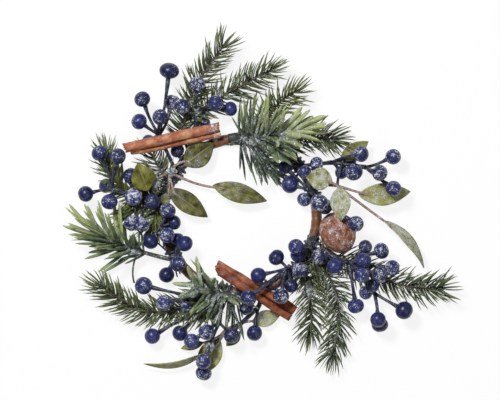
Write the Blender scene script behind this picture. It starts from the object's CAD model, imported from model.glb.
# %% [markdown]
# A candle ring for a table: a brown hoop dressed with berry sprays, conifer sprigs, leaves, two
# cinnamon sticks and a nut. Its solid model comes ready made in metres, and this lesson dresses it.
# Each step says what a piece is on the real ring, how it could be made, and why this way was chosen.

# %% Load the solid model
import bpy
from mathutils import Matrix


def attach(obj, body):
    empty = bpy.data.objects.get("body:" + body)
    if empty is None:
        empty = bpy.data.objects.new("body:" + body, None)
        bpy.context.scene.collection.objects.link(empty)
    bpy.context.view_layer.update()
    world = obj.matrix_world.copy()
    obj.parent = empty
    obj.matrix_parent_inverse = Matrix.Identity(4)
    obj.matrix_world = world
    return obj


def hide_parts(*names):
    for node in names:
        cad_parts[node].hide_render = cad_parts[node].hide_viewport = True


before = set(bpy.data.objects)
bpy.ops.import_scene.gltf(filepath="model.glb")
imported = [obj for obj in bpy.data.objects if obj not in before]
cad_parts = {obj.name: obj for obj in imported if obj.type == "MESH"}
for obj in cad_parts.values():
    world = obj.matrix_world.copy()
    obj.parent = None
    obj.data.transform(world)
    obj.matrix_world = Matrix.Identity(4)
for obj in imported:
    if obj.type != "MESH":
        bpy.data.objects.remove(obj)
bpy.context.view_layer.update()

import math
import random

import bmesh
import bpy
import numpy as np
from mathutils import Matrix, Vector, noise

# %% [markdown]
# Everything on the ring is laid out by three numbers: an angle round the hoop, how far out from the
# hoop's own line, and how far above it, in millimetres. The florist works the same way, going round
# the hoop and binding on one spray after another, so the numbers stay easy to read. Blender works in
# metres, so sizes are turned to metres where a shape is made.

# %% Places on the ring
MM = 0.001
UP = Vector((0, 0, 1))
HOOP_RADIUS = 50.0
HOOP_HEIGHT = 3.0


def at(angle, out, up):
    """Point at a place of the layout, in metres."""
    turn = math.radians(angle)
    reach = HOOP_RADIUS + out
    return Vector((reach * math.cos(turn), reach * math.sin(turn), HOOP_HEIGHT + up)) * MM


def in_metres(sizes):
    """Sizes in millimetres, turned to metres."""
    return [size * MM for size in sizes]


def between(pair, share):
    """Value at a share of the way from the first of a pair to the second."""
    return pair[0] + (pair[1] - pair[0]) * share


print("a place above the hoop:", at(90, 0, 10))

# %% [markdown]
# A paint chart gives colours as sRGB hex values, while a shader works with linear light. One function
# turns the first into the second. A second function adds a node with its settings and its links, so
# that a material reads as a list of what feeds what.


# %% Colours and nodes
def colour(text):
    """Linear colour of an sRGB hex value."""
    shares = [int(text[index:index + 2], 16) / 255 for index in (1, 3, 5)]
    linear = [s / 12.92 if s <= 0.04045 else ((s + 0.055) / 1.055) ** 2.4 for s in shares]
    return (*linear, 1.0)


def node(tree, kind, inputs=None, stops=None, **settings):
    """Adds a shader node: settings are its properties, inputs its sockets by name or number.

    An input is a value, an output of another node, or a node that feeds it from its first output.
    """
    made = tree.nodes.new("ShaderNode" + kind)
    for name, value in settings.items():
        setattr(made, name, value)
    for socket, value in (inputs or {}).items():
        if isinstance(value, bpy.types.Node):
            value = value.outputs[0]
        if isinstance(value, bpy.types.NodeSocket):
            tree.links.new(value, made.inputs[socket])
        else:
            made.inputs[socket].default_value = value
    for index, (place, text) in enumerate(stops or []):
        ramp = made.color_ramp.elements
        step = ramp[index] if index < 2 else ramp.new(place)
        step.position = place
        step.color = colour(text)
    return made


print("white is", colour("#ffffff"))

# %% [markdown]
# The ring is dusted with artificial snow, a clear and white grit that is glued on in patches after
# the ring is put together. So nearly every finish here ends in the same way: a cell pattern gives the
# grains, a soft noise gathers them in patches, and an amount from 0 upwards says how much of a piece
# is covered. The real grit is finer than a pixel of the picture, so its grains are drawn coarser, at
# 0.95 mm, to show at all. A thin haze of dust lies round the patches. On the plainer pieces one noise
# gives both the tones and the relief, so one function makes all of those finishes.

# %% Snow over any finish
GRAIN_MM = 0.95
GRAIN_HEIGHT_MM = 0.22
GRAIN_ROUGHNESS = 0.7
PATCH_MM = 4.0
SNOW = "#dfe4f2"


def new_finish(name):
    """Empty material and its node tree."""
    material = bpy.data.materials.new(name)
    material.use_nodes = True
    material.node_tree.nodes.clear()
    return material, material.node_tree


def close_finish(tree, base, height, roughness, snow, snow_colour=SNOW, haze=0.2, **sockets):
    """Lays snow over a base colour and ends in one shader. Height and the grains are in mm."""
    where = node(tree, "TexCoord").outputs["Object"]
    # How much snow has gathered at a spot
    patches = node(tree, "TexNoise", {"Vector": where, "Scale": 1 / (PATCH_MM * MM), "Detail": 2.0})
    gathered = node(tree, "MapRange", {"Value": patches, "From Min": 0.28, "From Max": 0.62})
    cover = node(tree, "Math", {0: gathered, 1: snow}, operation="MULTIPLY")
    # Single grains, which differ in size and in how much they glint
    grains = node(tree, "TexVoronoi", {"Vector": where, "Scale": 1 / (GRAIN_MM * MM)}).outputs
    luck = node(tree, "SeparateColor", {0: grains["Color"]}).outputs
    size = node(tree, "MapRange", {"Value": luck[0], "To Min": 0.4, "To Max": 1.3})
    reach = node(tree, "Math", {0: cover, 1: size}, operation="MULTIPLY")
    over = node(tree, "Math", {0: reach, 1: grains["Distance"]}, operation="SUBTRACT")
    spread = node(tree, "MapRange", {"Value": over, "From Max": 0.12})
    glint = node(tree, "MapRange", {"Value": luck[1], "To Min": 0.45, "To Max": 1.0})
    mask = node(tree, "Math", {0: spread, 1: glint}, operation="MULTIPLY")
    # Haze of dust between the grains
    dust = node(tree, "MapRange", {"Value": cover, "From Min": 0.1, "From Max": 0.9, "To Max": haze})
    white = node(tree, "Math", {0: mask, 1: dust}, operation="MAXIMUM")
    mixed = node(tree, "Mix", {0: white, 6: base, 7: colour(snow_colour)}, data_type="RGBA")
    rough = node(tree, "MapRange", {"Value": mask, "To Min": roughness, "To Max": GRAIN_ROUGHNESS})
    raised = node(tree, "Math", {0: mask, 1: GRAIN_HEIGHT_MM, 2: height}, operation="MULTIPLY_ADD")
    bump = node(tree, "Bump", {"Height": raised, "Distance": MM, "Strength": 0.9})
    inputs = {"Base Color": mixed.outputs[2], "Roughness": rough, "Normal": bump}
    shader = node(tree, "BsdfPrincipled", {**inputs, **sockets})
    node(tree, "OutputMaterial", {"Surface": shader})


def noise_finish(name, size, detail, stops, relief, roughness, snow, **more):
    """Finish whose tones and relief follow one noise. Its size and relief are in mm."""
    material, tree = new_finish(name)
    where = node(tree, "TexCoord").outputs["Object"]
    pattern = node(tree, "TexNoise", {"Vector": where, "Scale": 1 / (size * MM), "Detail": detail})
    tones = node(tree, "ValToRGB", {0: pattern}, stops=stops)
    height = node(tree, "Math", {0: pattern, 1: relief}, operation="MULTIPLY")
    close_finish(tree, tones, height, roughness, snow, **more)
    print(name)
    return material


print("snow grains of", GRAIN_MM, "mm in patches of", PATCH_MM, "mm")

# %% [markdown]
# Wires, twigs and needles are all tubes. A curve with a bevel could draw them, but a ring of edges that
# is extruded, turned and scaled from point to point keeps every piece in one mesh and lets it swell
# or taper where the real one does.


# %% Tubes and bows
def facing(origin, along, upward=UP):
    """Matrix at a point whose Z axis runs along a direction, with Y as near to upward as it can be."""
    z = along.normalized()
    y = upward - z * upward.dot(z)
    if y.length < 1e-4:
        y = z.orthogonal()
    y.normalize()
    return Matrix.Translation(origin) @ Matrix((y.cross(z), y, z)).transposed().to_4x4()


def extrude_on(bm, edges):
    """Extrudes edges on the spot. Gives the new vertices and the edges between them."""
    made = bmesh.ops.extrude_edge_only(bm, edges=edges)["geom"]
    verts = {part for part in made if isinstance(part, bmesh.types.BMVert)}
    new_edges = [part for part in made if isinstance(part, bmesh.types.BMEdge)]
    return list(verts), [edge for edge in new_edges if verts.issuperset(edge.verts)]


def grow_tube(bm, path, radii, sides=8):
    """Extrudes a ring along a path, turned and scaled at each point, and closes both ends."""
    turned = facing(path[0], path[1] - path[0])
    pose = turned @ Matrix.Diagonal((radii[0], radii[0], 1, 1))
    ring = bmesh.ops.create_circle(bm, segments=sides, radius=1.0, matrix=pose)["verts"]
    edges = list({edge for vert in ring for edge in vert.link_edges})
    ends = list(edges)
    for index in range(1, len(path)):
        ahead = path[min(index + 1, len(path) - 1)] - path[index - 1]
        turned = facing(path[index], ahead, turned.col[1].to_3d())
        reached = turned @ Matrix.Diagonal((radii[index], radii[index], 1, 1))
        verts, edges = extrude_on(bm, edges)
        bmesh.ops.transform(bm, matrix=reached @ pose.inverted(), verts=verts)
        pose = reached
    bmesh.ops.holes_fill(bm, edges=ends + edges, sides=sides)


def bow(start, middle, end, count):
    """Points of a smooth bow that passes through three points."""
    pull = middle * 2 - (start + end) / 2
    shares = [index / (count - 1) for index in range(count)]
    return [start.lerp(pull, s).lerp(pull.lerp(end, s), s) for s in shares]


print("a bow of", len(bow(at(0, 0, 0), at(5, 0, 2), at(10, 0, 0), 5)), "points")

# %% [markdown]
# A small mesh that is needed many times, such as a berry or a needle, is made once and stamped wherever
# it belongs. Each stamp carries its own snow and tone, which the material reads. A finished piece then
# takes the place of one node of the solid model and rides on the same body.


# %% Stamps and finished pieces
def stamp(bm, template, matrix, **values):
    """Adds a moved copy of a small mesh, with its own attribute values."""
    copy = template.copy()
    for name, value in values.items():
        copy.attributes[name].data.foreach_set("value", [value] * len(copy.vertices))
    copy.transform(matrix)
    bm.from_mesh(copy)
    bpy.data.meshes.remove(copy)


def mesh_of(name, bm):
    """Mesh made from a bmesh, which is freed."""
    mesh = bpy.data.meshes.new(name)
    bm.to_mesh(mesh)
    bm.free()
    return mesh


def show(name, data):
    """Object in the scene that holds a mesh, a lamp or a camera."""
    thing = bpy.data.objects.new(name, data)
    bpy.context.scene.collection.objects.link(thing)
    return thing


def add_piece(name, bm, material, slot, *nodes, mend_normals=True):
    """Turns a bmesh into a piece of the ring that stands for some solid nodes."""
    if mend_normals:
        bmesh.ops.recalc_face_normals(bm, faces=bm.faces)
    mesh = mesh_of(name, bm)
    mesh.shade_smooth()
    mesh.materials.append(material)
    piece = show(name, mesh)
    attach(piece, "root")
    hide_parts(*nodes)
    print(name, len(mesh.polygons), "faces")
    return piece


print("ready to stamp")

# %% [markdown]
# The hoop is a wire ring wound with a strip of brown paper, rubbed smooth and lightly varnished. A plain
# torus would do for its shape. Here a circle is spun round the table's axis and every turn of the strip
# then stands a little proud of the next, so that light catches the wound edge. The underside stays
# flat where the ring rests.

# %% Finish of the hoop: varnished kraft paper, wound on
# Fine fibres and slow stains show through a thin varnish, which leaves a dull shine.
hoop_paper, tree = new_finish("varnished_kraft_paper")
where = node(tree, "TexCoord").outputs["Object"]
fibres = node(tree, "TexNoise", {"Vector": where, "Scale": 1 / (1.6 * MM), "Detail": 4.0})
stains = node(tree, "TexNoise", {"Vector": where, "Scale": 1 / (14 * MM), "Detail": 3.0})
blend = node(tree, "Math", {0: fibres, 1: 0.45, 2: stains}, operation="MULTIPLY_ADD")
paper_tones = [(0.42, "#2a1509"), (0.66, "#5c3316"), (0.98, "#8b582b")]
tones = node(tree, "ValToRGB", {0: blend}, stops=paper_tones)
height = node(tree, "Math", {0: fibres, 1: 0.12}, operation="MULTIPLY")
close_finish(tree, tones, height, roughness=0.42, snow=0.28)
print(hoop_paper.name)

# %% Hoop
WRAP_RADIUS = 3.4
STRIP_WIDTH = 6.5
TURNS = round(2 * math.pi * HOOP_RADIUS / STRIP_WIDTH)
# Shares of the radius: how proud an edge stands, how tight the paper lies, how lumpy it is
PROUD_EDGE = 0.055
TIGHTNESS = 0.02
LUMPS = 0.036
# How fast an edge rises, how close the lumps are, and how high the flat underside lies in mm
EDGE_SLOPE = 1.15
LUMPS_PER_METRE = 120
REST_HEIGHT = 0.2
bm = bmesh.new()
start = Matrix.Translation(at(0, 0, 0)) @ Matrix.Rotation(math.pi / 2, 4, "X")
ring = bmesh.ops.create_circle(bm, segments=20, radius=WRAP_RADIUS * MM, matrix=start)["verts"]
edges = list({edge for vert in ring for edge in vert.link_edges})
bmesh.ops.spin(bm, geom=ring + edges, cent=(0, 0, 0), axis=UP, angle=2 * math.pi, steps=540, use_merge=True)
bmesh.ops.remove_doubles(bm, verts=bm.verts, dist=1e-6)
for vert in bm.verts:
    angle = math.atan2(vert.co.y, vert.co.x)
    middle = at(math.degrees(angle), 0, 0)
    away = vert.co - middle
    tilt = math.atan2(away.z, away.xy.dot(middle.xy.normalized()))
    step = (angle * TURNS + tilt) / (2 * math.pi) % 1.0
    edge = PROUD_EDGE * min(step * EDGE_SLOPE, 1.0)
    lump = LUMPS * noise.noise(vert.co * LUMPS_PER_METRE)
    vert.co = middle + away * (1 + edge - TIGHTNESS + lump)
    vert.co.z = max(vert.co.z, REST_HEIGHT * MM)
add_piece("wound_hoop", bm, hoop_paper, "hoop_wrap", "hoop_wrap")

# %% [markdown]
# Where a spray leaves the hoop it is bound on with dark florist's tape, pulled tight so that it
# creases. Each binding is a short tube grown over a few degrees of the hoop, with a ridge for each turn
# of the tape, and noise then crumples it.

# %% Finish of the bindings: waxed crepe tape
# Wax makes the tape dull and nearly black, and the creases show a little of the brown paper.
tape_tones = [(0.3, "#0f110c"), (0.6, "#23251a"), (0.85, "#4a3c26")]
crepe_tape = noise_finish("waxed_crepe_tape", 1.2, 3.0, tape_tones, relief=0.3, roughness=0.7, snow=0.45)

# %% Bindings
TAPE_ANGLES = [94, 72, 57, 40, 22, 340, 326, 288, 272, 260, 245, 214, 188, 176, 162, 149, 128]
TAPE_LENGTH = 8.0
TAPE_STEPS = 8
TAPE_END_RADIUS = 3.7
TAPE_RIDGE_RADIUS = 4.25
TAPE_DIP = 0.35
TAPE_CRUMPLE = 0.45
CRUMPLES_PER_METRE = 300
TAPE_REST_HEIGHT = 0.3
# Without a seed, vector noise starts from the clock, and each run would give other crumples and bends.
noise.seed_set(1)
half_angle = math.degrees(TAPE_LENGTH / HOOP_RADIUS / 2)
steps = range(-TAPE_STEPS, TAPE_STEPS + 1)
radii = [TAPE_RIDGE_RADIUS - TAPE_DIP * (step % 2) for step in steps]
radii[0] = radii[-1] = TAPE_END_RADIUS
bm = bmesh.new()
for angle in TAPE_ANGLES:
    path = [at(angle + half_angle * step / TAPE_STEPS, 0, 0) for step in steps]
    grow_tube(bm, path, in_metres(radii), sides=18)
for vert in bm.verts:
    vert.co += noise.noise_vector(vert.co * CRUMPLES_PER_METRE) * TAPE_CRUMPLE * MM
    vert.co.z = max(vert.co.z, TAPE_REST_HEIGHT * MM)
add_piece("tape_bindings", bm, crepe_tape, "binding_tape", "binding_tapes")

# %% [markdown]
# The wire inside the hoop and the glue under the sticks and the nut keep their solid shapes, and only
# get a finish. Both could be left out, because hardly any of them shows, but with them the ring is
# complete.

# %% Wire and glue
# Drawn steel has fine scratches and a metal's reflections.
steel_wire, tree = new_finish("drawn_steel")
where = node(tree, "TexCoord").outputs["Object"]
scratches = node(tree, "TexNoise", {"Vector": where, "Scale": 1 / (0.6 * MM)})
tones = node(tree, "ValToRGB", {0: scratches}, stops=[(0.3, "#8d8f92"), (0.7, "#b9babd")])
shader = node(tree, "BsdfPrincipled", {"Base Color": tones, "Metallic": 1.0, "Roughness": 0.35})
node(tree, "OutputMaterial", {"Surface": shader})

# Amber hot melt is cloudy, and lets some light into itself.
glue_tones = [(0.3, "#4f3824"), (0.7, "#7a5c40")]
cloudy = {"Subsurface Weight": 0.25, "Subsurface Scale": 2 * MM}
hot_glue = noise_finish(
    "amber_hot_melt_glue", 2.5, 2.0, glue_tones, relief=0.0, roughness=0.35, snow=0.15, **cloudy
)

for name, material in (("hoop_wire", steel_wire), ("glue_pads", hot_glue)):
    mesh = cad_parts[name].data
    mesh.materials.clear()
    mesh.materials.append(material)
    print(name, "wears", material.name)

# %% [markdown]
# Each cinnamon stick is a strip of bark that dried into two scrolls, side by side. Seen from its end
# it is one line that curls in from both edges. A single vertex is spun through six half turns to
# draw that line, the line is extruded along the stick, and Solidify gives the bark its thickness.
# One scroll is a little larger than the other. Noise then bends the strip and breaks its ends, and the
# pair of scrolls twists from end to end, as a strip does when it dries.

# %% Finish of the sticks: cinnamon bark, scraped and dried
# Scraping leaves grain along the stick, in a UV map that follows the bark, and drying leaves stains.
cinnamon_bark, tree = new_finish("cinnamon_bark")
where = node(tree, "TexCoord").outputs["Object"]
lengthwise = node(tree, "UVMap", uv_map="bark")
grain_size = (1 / (9 * MM), 1 / (0.8 * MM), 1)
stretched = node(tree, "Mapping", {"Vector": lengthwise, "Scale": grain_size})
grain = node(tree, "TexNoise", {"Vector": stretched, "Scale": 1.0, "Detail": 5.0, "Roughness": 0.65})
stains = node(tree, "TexNoise", {"Vector": where, "Scale": 1 / (7 * MM), "Detail": 3.0})
tone = node(tree, "Attribute", attribute_name="tone").outputs["Fac"]
snow = node(tree, "Attribute", attribute_name="snow").outputs["Fac"]
stained = node(tree, "Math", {0: stains, 1: tone}, operation="ADD")
blend = node(tree, "Math", {0: grain, 1: 0.7, 2: stained}, operation="MULTIPLY_ADD")
bark_tones = [(0.45, "#642c17"), (0.7, "#965030"), (0.9, "#b16a44"), (1.0, "#c9946a")]
tones = node(tree, "ValToRGB", {0: blend}, stops=bark_tones)
height = node(tree, "Math", {0: grain, 1: 0.35}, operation="MULTIPLY")
close_finish(tree, tones, height, roughness=0.62, snow=snow, **{"Specular IOR Level": 0.3})
print(cinnamon_bark.name)

# %% Stick layout
# Roll and twist are in degrees. Tone and snow run from the start to the end, and snow also lies in
# heaps, each at a share of the length.
STICKS = {
    "top": dict(
        start=(151, 36.2, 15.8), end=(103, 6.5, 8.5), roll=-40, twist=-24,
        tones=(0.0, 0.0), snows=(0.34, 0.34), heaps=(0.95,),
    ),
    "bottom": dict(
        start=(243.6, -13, 8.5), end=(298.1, 23.1, 8.5), roll=28, twist=60,
        tones=(-0.14, -0.26), snows=(0.32, 0.16), heaps=(),
    ),
}
BARK_THICKNESS = 0.9
SCROLL_RADII = (1.05, 1.8, 2.55)
SCROLL_GAP = 0.15
HALF_BACK = SCROLL_RADII[1] + BARK_THICKNESS / 2 + SCROLL_GAP


def draw_scrolls(bm):
    """Line of bark in the XY plane, in mm: two scrolls joined by a flat back."""
    inner, middle, outer = SCROLL_RADII
    floor = outer - 2 * middle
    right = [(HALF_BACK, floor + inner), (HALF_BACK, floor + middle), (HALF_BACK, 0.0)]
    left = [(-x, y) for x, y in reversed(right)]
    tip = bm.verts.new((HALF_BACK, floor + 2 * inner, 0))
    for index, (x, y) in enumerate(right + left):
        if index == len(right):
            made = bmesh.ops.extrude_vert_indiv(bm, verts=[tip])
            tip = made["verts"][0]
            tip.co.x = -HALF_BACK
        around = bmesh.ops.spin(bm, geom=[tip], cent=(x, y, 0), axis=UP, angle=-math.pi, steps=10)
        tip = [part for part in around["geom_last"] if isinstance(part, bmesh.types.BMVert)][0]


print(len(STICKS), "sticks")

# %% Cinnamon sticks
STICK_STEPS = 44
RAGGED_ENDS = 2.4
END_SLANT = 2.2
SLOW_BEND = 0.75
FINE_BEND = 0.22
SWELLING = 0.05
LARGER_SCROLL = 0.14
HEAP_SNOW = 0.45
HEAP_SPREAD = 0.05


def bend_bark(spot, length, seed):
    """Where a point of the straight scrolls lies on the dried stick, in mm."""
    x, y, z = spot
    share = z / length
    ragged = abs(noise.noise(Vector((x, y, 0)) * 0.9 + seed)) * RAGGED_ENDS * (2 * share - 1) ** 8
    slant = END_SLANT * (1 - math.tanh(x)) * max(0.0, 1 - 2 * share) ** 8
    worn = slant + (ragged if share < 0.5 else -ragged)
    slow = noise.noise_vector(Vector((x * 0.12, y * 0.12, z * 0.05)) + seed) * SLOW_BEND
    fine = noise.noise_vector(Vector((x * 0.8, y * 0.8, z * 0.12)) + seed) * FINE_BEND
    bent = slow + fine
    swell = 1 + SWELLING * math.sin(share * 7 + seed.x) + LARGER_SCROLL * math.tanh(x / 2)
    return Vector((x * swell + bent.x, y * swell + bent.y, min(max(z + worn, 0.0), length)))


def make_stick(name, start, end, roll, twist, tones, snows, heaps):
    """Rolls, bends and paints one stick between two places."""
    start, end = at(*start), at(*end)
    length = (end - start).length / MM
    rng = random.Random(name)
    seed = Vector([rng.uniform(0, 50) for axis in range(3)])
    bm = bmesh.new()
    bark = bm.loops.layers.uv.new("bark")
    toned, frosted = (bm.verts.layers.float.new(layer) for layer in ("tone", "snow"))
    draw_scrolls(bm)
    edges = list(bm.edges)
    for step in range(STICK_STEPS):
        verts, edges = extrude_on(bm, edges)
        bmesh.ops.translate(bm, vec=(0, 0, length / STICK_STEPS), verts=verts)
    for face in bm.faces:
        for loop in face.loops:
            spot = loop.vert.co
            loop[bark].uv = (spot.z * MM, (math.atan2(spot.y, spot.x) * 3 + spot.x) * MM)
    for vert in bm.verts:
        share = vert.co.z / length
        heaped = sum(HEAP_SNOW * math.exp(-(((share - heap) / HEAP_SPREAD) ** 2)) for heap in heaps)
        vert[toned] = between(tones, share)
        vert[frosted] = between(snows, share) + heaped
        vert.co = bend_bark(vert.co, length, seed)
        vert.co.rotate(Matrix.Rotation(math.radians(twist * (share - 0.5)), 3, "Z"))
    rolled = Matrix.Rotation(math.radians(-roll), 4, "Z") @ Matrix.Diagonal((MM, MM, MM, 1))
    bm.transform(facing(start, end - start) @ rolled)
    piece = add_piece("cinnamon_scroll_" + name, bm, cinnamon_bark, "cinnamon_bark", "cinnamon_stick_" + name)
    shell = piece.modifiers.new("bark thickness", "SOLIDIFY")
    shell.thickness = BARK_THICKNESS * MM
    shell.offset = 0.0


for name, stick in STICKS.items():
    make_stick(name, **stick)

# %% [markdown]
# The nut is a walnut in its shell, glued on its side. Its two halves meet in a raised seam, and
# shallow grooves wander from end to end. An icosphere has even faces all over, so it takes the
# grooves well: it is stretched to the nut's profile, and noise along the length cuts the grooves.

# %% Finish of the nut: walnut shell
# A hard, dry shell with small pores, darker where dirt stays in the grooves.
walnut_shell, tree = new_finish("walnut_shell")
where = node(tree, "TexCoord").outputs["Object"]
mottle = node(tree, "TexNoise", {"Vector": where, "Scale": 1 / (4 * MM), "Detail": 5.0, "Roughness": 0.6})
pores = node(tree, "TexNoise", {"Vector": where, "Scale": 1 / (0.7 * MM), "Detail": 2.0})
blend = node(tree, "Math", {0: pores, 1: 0.4, 2: mottle}, operation="MULTIPLY_ADD")
shell_tones = [(0.45, "#6f3a1f"), (0.68, "#9a5f3c"), (0.9, "#b98665")]
tones = node(tree, "ValToRGB", {0: blend}, stops=shell_tones)
groove = node(tree, "Attribute", attribute_name="groove").outputs["Fac"]
stained = node(tree, "Mix", {0: groove, 6: tones, 7: colour("#55290f")}, data_type="RGBA")
height = node(tree, "Math", {0: pores, 1: 0.15}, operation="MULTIPLY")
close_finish(tree, stained.outputs[2], height, roughness=0.5, snow=0.56)
print(walnut_shell.name)

# %% Nut
NUT_PLACE = (350, 14.5, 10)
NUT_POINTS_TO = (340, 24.5, 10)
NUT_LENGTH = 27.5
NUT_WIDTH = 23.0
NUT_TIP_TAPER = 0.12
SEAM_TURN = 35
SEAM_WIDTH = 0.1
SEAM_RISE = 0.75
GROOVES_AROUND = 3.2
GROOVES_ALONG = 1.6
GROOVE_EDGE = 0.34
GROOVE_DEPTH = 1.0
DENTS = 0.45


def nut_radius(share):
    """Half width of the nut at a share of its length, blunt at the stalk and pointed at the tip."""
    blunt = math.sqrt(max(0.0, 1 - share * share))
    return blunt if share < 0 else blunt * (1 - NUT_TIP_TAPER * share * share)


nut_along = (at(*NUT_POINTS_TO) - at(*NUT_PLACE)).normalized()
bm = bmesh.new()
grooved = bm.verts.layers.float.new("groove")
bmesh.ops.create_icosphere(bm, subdivisions=6, radius=1.0)
for vert in bm.verts:
    share = vert.co.z
    flat = vert.co.xy
    flat = flat.normalized() if flat.length > 1e-6 else Vector((1, 0))
    around = math.atan2(flat.y, flat.x) - math.radians(SEAM_TURN)
    seam = math.exp(-((math.sin(around) / SEAM_WIDTH) ** 2))
    spot = Vector((flat.x * GROOVES_AROUND, flat.y * GROOVES_AROUND, share * GROOVES_ALONG))
    furrow = abs(noise.noise(spot * 1.3)) + 0.5 * abs(noise.noise(spot * 2.9))
    depth = max(0.0, GROOVE_EDGE - furrow) / GROOVE_EDGE
    sink = DENTS * noise.noise(spot * 0.6) - GROOVE_DEPTH * depth
    relief = (seam * SEAM_RISE + sink * (1 - seam)) * (1 - share**6)
    radius = NUT_WIDTH / 2 * nut_radius(share) + relief
    vert.co = Vector((flat.x * radius, flat.y * radius, share * NUT_LENGTH / 2))
    vert[grooved] = depth * (1 - seam)
bm.transform(facing(at(*NUT_PLACE), nut_along) @ Matrix.Diagonal((MM, MM, MM, 1)))
add_piece("walnut_in_shell", bm, walnut_shell, "nut_shell", "walnut")

# %% [markdown]
# The berries are foam balls dipped in dark blue lacquer, each pushed on to a branch of dark wire. They
# are listed spray by spray: the foot on the hoop, then each fork with the place, the size and the
# snow of its berries. Small, medium and large berries are 9.2, 10.4 and 11.8 mm across.

# %% Berry layout
S, M, L = 9.2, 10.4, 11.8
BERRY_SPRAYS = {
    "top_left": [
        (146, [
            ((135, 24.5, 5), [
                ((116, 54.5, 13), L, 0.2), ((130, 48.5, 15), M, 0.2), ((137, 39.5, 11), M, 0.3),
                ((129, 32, 21), M, 0.4), ((121, 36, 3), M, 0.6), ((141, 26.5, 3.5), S, 0.2),
                ((134, 8.8, 2), S, 0.4),
            ]),
        ]),
    ],
    "top": [
        (126, [
            ((113, 23.5, 9), [
                ((118, 30, 19), M, 0.7), ((108, 39.5, 17), M, 0.8), ((102, 24.5, 17), M, 0.5),
                ((95, 19.5, 11), S, 0.0), ((111.8, 14.5, 1.7), S, 0.35),
            ]),
        ]),
    ],
    "left": [
        (175, [
            ((168, 34.5, 11), [
                ((156, 49.5, 17), M, 0.3), ((154, 37.5, 25), M, 0.3),
                ((172, 51, 15), M, 0.1), ((174, 35, 17), M, 0.3), ((167.5, 39.5, 3), S, 0.3),
            ]),
        ]),
    ],
    "left_inner": [
        (183, [
            ((176, 14.5, 8), [
                ((170, 20, 15.5), L, 0.95), ((171, 7.5, 15), M, 0.3), ((160, 25.5, 8.5), M, 0.3),
                ((184, 20.5, 9), M, 0.8), ((185, 14, 17.5), M, 0.8),
            ]),
        ]),
    ],
    "inner_left": [
        (190, [
            ((188, 2, 8), [
                ((176, -3, 13), M, 0.5), ((186, -7, 7), S, 0.2),
                ((195, -1, 14), M, 0.6), ((196, 10.5, 11), M, 0.0),
            ]),
        ]),
        (210, [
            ((211, -3, 6), [
                ((207, -10, 14.5), M, 0.0), ((201, -6.5, 6), S, 0.1),
                ((218, 1, 12), M, 0.4), ((219, 11.5, 4), M, 0.0),
            ]),
        ]),
    ],
    "lower_left": [
        (240, [
            ((244, 8.5, 8), [
                ((216, 27.5, 7), L, 0.4), ((229, 25, 15), M, 0.7), ((239, 18, 6.5), S, 0.6),
            ]),
        ]),
        (250, [
            ((249, 16, 5), [
                ((234, 47, 5), M, 0.1), ((243, 36, 2.5), M, 0.0),
            ]),
        ]),
    ],
    "bottom": [
        (258, [
            ((259, 21, 5), [
                ((249, 37.5, 10.5), M, 0.4), ((254, 28.5, 15.5), M, 0.7), ((266, 28, 11), M, 0.2),
                ((256, 47.5, 15), M, 0.5), ((257, 55, 7), M, 0.6),
            ]),
        ]),
        (275, [
            ((271, 5, 7), [
                ((274, 10.5, 9), S, 0.75), ((276, 3.5, 19.5), M, 0.3),
            ]),
        ]),
        (287, [
            ((282, 10, 4), [
                ((277, 27, 6), M, 0.1),
            ]),
        ]),
    ],
    "inner_right": [
        (318, [
            ((312, -4, 9), [
                ((311, -14, 9), M, 0.1), ((287, -9.5, 14), M, 0.0), ((318, 2.5, 16), M, 0.6),
                ((306, 6.5, 8), S, 0.1), ((297, 8.5, 19), M, 0.7),
            ]),
        ]),
        (330, [
            ((333, -1, 9), [
                ((331, -8.5, 17), M, 0.3), ((325, -4.5, 8.5), S, 0.1),
            ]),
        ]),
    ],
    "lower_right": [
        (336, [
            ((336.5, 27, 8), [
                ((333, 8.5, 15), M, 0.7), ((332, 19.5, 19), M, 0.1), ((340, 35, 18), M, 0.3),
                ((334, 37.5, 24), M, 0.4), ((337, 48.5, 20), M, 0.6), ((341, 54.5, 12), M, 0.6),
                ((346, 34, 7), S, 0.3), ((346, 44.5, 13), M, 0.5), ((322, 45.5, 9), M, 0.3),
            ]),
            ((330, 51, 7), [
                ((332, 47, 13), S, 0.4), ((328.5, 46, 2), S, 0.5), ((323, 62, 15.5), M, 0.1),
                ((322, 65.5, 5), M, 0.2), ((330, 73, 11), L, 0.0),
            ]),
        ]),
    ],
    "right": [
        (40, [
            ((30, 19, 6), [
                ((34, 10, 11), S, 0.8), ((23, 22, 4), S, 0.4),
                ((27, 30.5, 2), S, 0.1), ((27, 38, 18.5), M, 0.7),
            ]),
            ((21, 37.5, 8.5), [
                ((21, 29, 19), L, 0.4), ((21, 56.5, 11), M, 0.4),
                ((17, 44.5, 21.5), M, 0.6), ((10, 51, 17), M, 0.5),
            ]),
        ]),
        (18, [
            ((19, -2, 10), [
                ((47, -7, 9), S, 0.1), ((32, -11.5, 4), L, 0.3),
                ((14, -7, 5), S, 0.5), ((34, 0.5, 9.5), S, 0.4),
                ((9, 2, 23), L, 0.7), ((6, 5.5, 8), M, 0.3), ((356, 25, 24), M, 0.8),
            ]),
        ]),
    ],
}
ALL_BERRIES = [
    berry
    for stems in BERRY_SPRAYS.values()
    for foot, chain in stems
    for hub, group in chain
    for berry in group
]
print(len(ALL_BERRIES), "berries")

# %% [markdown]
# Lacquer on foam is satin rather than glossy: the foam's skin shows through as faint lumps, and the
# blue runs from near black in the shade to violet where light falls straight on it. Each berry carries
# its own snow and tone as attributes, so one material serves them all. Foam is soft, so no berry is
# quite round, and one on a long branch is pressed to an oval.

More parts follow.
